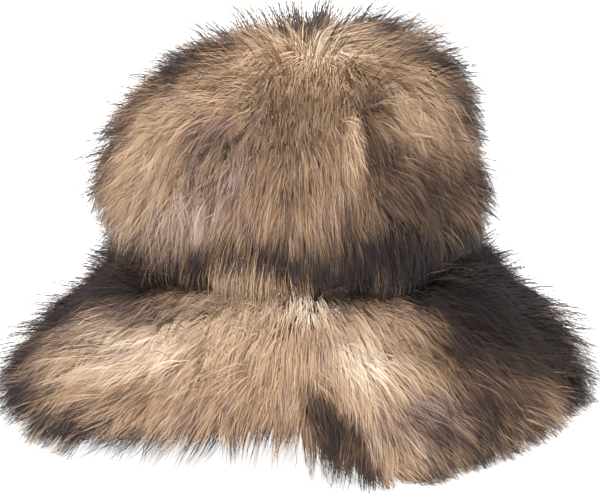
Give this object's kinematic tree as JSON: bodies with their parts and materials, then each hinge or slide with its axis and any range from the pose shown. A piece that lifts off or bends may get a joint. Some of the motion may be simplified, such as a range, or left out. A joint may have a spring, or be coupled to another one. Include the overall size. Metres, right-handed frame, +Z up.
{
  "type": "deep-pile faux fur bucket hat",
  "caption": "Soft bucket hat with a tall rounded crown and a wide drooping brim, covered in long faux fur.",
  "frame": {"origin": "middle of the footprint on the surface the hat rests on", "axes": "+Z up through the crown, -Y towards the front, +X towards the wearer's left"},
  "size_m": [0.3652, 0.3704, 0.24],
  "materials": {
    "backing_cloth": "matt knitted backing of the pile",
    "crown_tip_pile": "long soft pile, tan with dark tips",
    "crown_band_pile": "long soft pile, brown and tan with dark tips",
    "brim_pile": "long soft pile, tan and cream with near-black patches and dark tips"
  },
  "bodies": {
    "root": {"crown_tip": "backing_cloth", "crown_band": "backing_cloth", "brim_cloth": "backing_cloth", "crown_tip_fur": "crown_tip_pile", "crown_band_fur": "crown_band_pile", "brim_fur": "brim_pile"}
  },
  "joints": []
}
